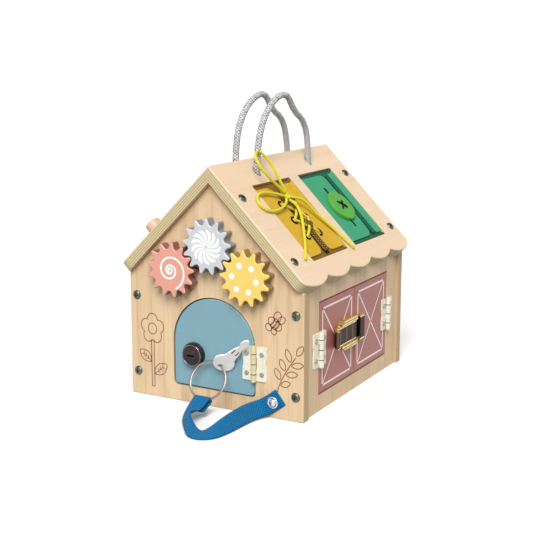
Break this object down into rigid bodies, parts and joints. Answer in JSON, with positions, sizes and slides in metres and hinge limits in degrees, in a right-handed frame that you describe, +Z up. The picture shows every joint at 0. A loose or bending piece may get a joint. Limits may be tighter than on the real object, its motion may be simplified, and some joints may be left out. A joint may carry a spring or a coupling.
{
  "type": "wooden busy house toy",
  "caption": "Wooden house-shaped activity toy: meshing gears, a locked round-headed door, latched side doors, felt roof windows to lace and button, sliding knobs and rope handles.",
  "frame": {"origin": "centre of the house's base, on the surface it stands on", "axes": "+Z up, -Y out of the gable front with the round-headed door, +X out of the wall with the pair of doors"},
  "size_m": [0.1946, 0.303, 0.2771],
  "materials": {
    "wood": "smooth pale sawn wood with a clear satin finish",
    "blue_paint": "satin blue paint on wood",
    "pink_paint": "satin pink paint on wood",
    "grey_paint": "satin pale grey paint on wood",
    "yellow_paint": "satin yellow paint on wood",
    "barn_red": "dusty red print on wood",
    "hinge_cream": "cream enamel",
    "hinge_screw": "bright zinc",
    "dark_zinc": "dark zinc",
    "dark_chrome": "black nickel",
    "bright_chrome": "polished",
    "steel": "satin nickel",
    "latch_brass": "antique brass",
    "brown_felt": "woven brown cloth",
    "yellow_felt": "soft yellow felt",
    "dark_green_felt": "soft dark green felt",
    "green_felt": "soft green felt",
    "green_button": "glossy green plastic",
    "lace": "round yellow woven lace",
    "rope": "grey braided cotton rope",
    "blue_webbing": "blue woven webbing"
  },
  "bodies": {
    "house": {"front_panel": "wood", "back_panel": "wood", "left_wall": "wood", "right_wall": "wood", "floor_panel": "wood", "left_roof_board": "wood", "right_roof_board": "wood", "house_screws": "dark_zinc", "hinge_frame_screws": "hinge_screw", "front_hinge_frame_leaf": "hinge_cream", "front_hinge_pin": "hinge_cream", "front_door_stop": "wood", "side_front_hinge_wall_leaf": "hinge_cream", "side_front_hinge_pin": "hinge_cream", "side_rear_hinge_wall_leaf": "hinge_cream", "side_rear_hinge_pin": "hinge_cream", "side_door_stop": "wood", "lacing_backing": "brown_felt", "lacing_flaps": "yellow_felt", "button_backing": "dark_green_felt", "button_flaps": "green_felt", "button": "green_button", "lace_crossings": "lace", "lace_knot": "lace", "lace_loops": "lace", "lace_tails": "lace", "rope_handle_left": "rope", "rope_handle_right": "rope", "rope_knots": "rope", "key_strap": "blue_webbing", "strap_rivet": "bright_chrome"},
    "front_door": {"front_door": "blue_paint", "front_hinge_door_leaf": "hinge_cream", "front_hinge_door_screws": "hinge_screw", "lock_housing": "dark_chrome", "lock_nut": "steel"},
    "lock_core": {"lock_plug": "steel", "lock_cam": "steel"},
    "grey_wheel": {"grey_gear": "grey_paint", "grey_axle": "wood"},
    "pink_wheel": {"pink_gear": "pink_paint", "pink_axle": "wood"},
    "yellow_wheel": {"yellow_gear": "yellow_paint", "yellow_axle": "wood"},
    "side_door_front": {"side_door_front": "barn_red", "side_front_hinge_door_leaf": "hinge_cream", "side_front_hinge_screws": "hinge_screw", "latch_case": "latch_brass"},
    "side_door_rear": {"side_door_rear": "barn_red", "side_rear_hinge_door_leaf": "hinge_cream", "side_rear_hinge_screws": "hinge_screw", "latch_keeper": "latch_brass"},
    "latch_bolt": {"latch_bolt": "latch_brass"},
    "key_ring": {"key_ring": "bright_chrome"},
    "key": {"key": "steel"},
    "wood_slider": {"wood_knob": "wood", "wood_peg": "wood"},
    "grey_slider": {"grey_knob": "grey_paint", "grey_peg": "wood"}
  },
  "joints": [
    {"name": "front_door_swing", "type": "hinge", "parent": "house", "child": "front_door", "pos_m": [0.0422, -0.1111, 0.047], "axis": [0, 0, 1], "range_deg": [0, 105], "deforming": ["key_strap"]},
    {"name": "lock_turn", "type": "hinge", "parent": "front_door", "child": "lock_core", "pos_m": [-0.0205, -0.1085, 0.0465], "axis": [0, 1, 0], "range_deg": [0, 90]},
    {"name": "grey_gear_spin", "type": "hinge", "parent": "house", "child": "grey_wheel", "pos_m": [0, -0.1085, 0.1484], "axis": [0, -1, 0], "continuous": true},
    {"name": "pink_gear_spin", "type": "hinge", "parent": "house", "child": "pink_wheel", "pos_m": [-0.038, -0.1085, 0.124], "axis": [0, -1, 0], "continuous": true},
    {"name": "yellow_gear_spin", "type": "hinge", "parent": "house", "child": "yellow_wheel", "pos_m": [0.038, -0.1085, 0.124], "axis": [0, -1, 0], "continuous": true},
    {"name": "side_door_front_swing", "type": "hinge", "parent": "house", "child": "side_door_front", "pos_m": [0.0901, -0.0744, 0.0575], "axis": [0, 0, -1], "range_deg": [0, 110]},
    {"name": "side_door_rear_swing", "type": "hinge", "parent": "house", "child": "side_door_rear", "pos_m": [0.0901, 0.0744, 0.0575], "axis": [0, 0, 1], "range_deg": [0, 110]},
    {"name": "latch_slide", "type": "slide", "parent": "side_door_front", "child": "latch_bolt", "axis": [0, 1, 0], "range_m": [0, 0.0125]},
    {"name": "wood_knob_slide", "type": "slide", "parent": "house", "child": "wood_slider", "axis": [0, 1, 0], "range_m": [0, 0.09]},
    {"name": "grey_knob_slide", "type": "slide", "parent": "house", "child": "grey_slider", "axis": [0, 1, 0], "range_m": [0, 0.09]},
    {"name": "key_ring_swing", "type": "hinge", "parent": "front_door", "child": "key_ring", "pos_m": [0.002, -0.13105, 0.01375], "axis": [1, 0, 0], "range_deg": [0, 55]},
    {"name": "key_swing", "type": "hinge", "parent": "key_ring", "child": "key", "pos_m": [0.01075, -0.11472, 0.04202], "axis": [0.866, -0.25, -0.433], "range_deg": [0, 40]}
  ],
  "couplings": [
    {"joint": "pink_gear_spin", "follows": "grey_gear_spin", "ratio": -1},
    {"joint": "yellow_gear_spin", "follows": "grey_gear_spin", "ratio": -1}
  ]
}
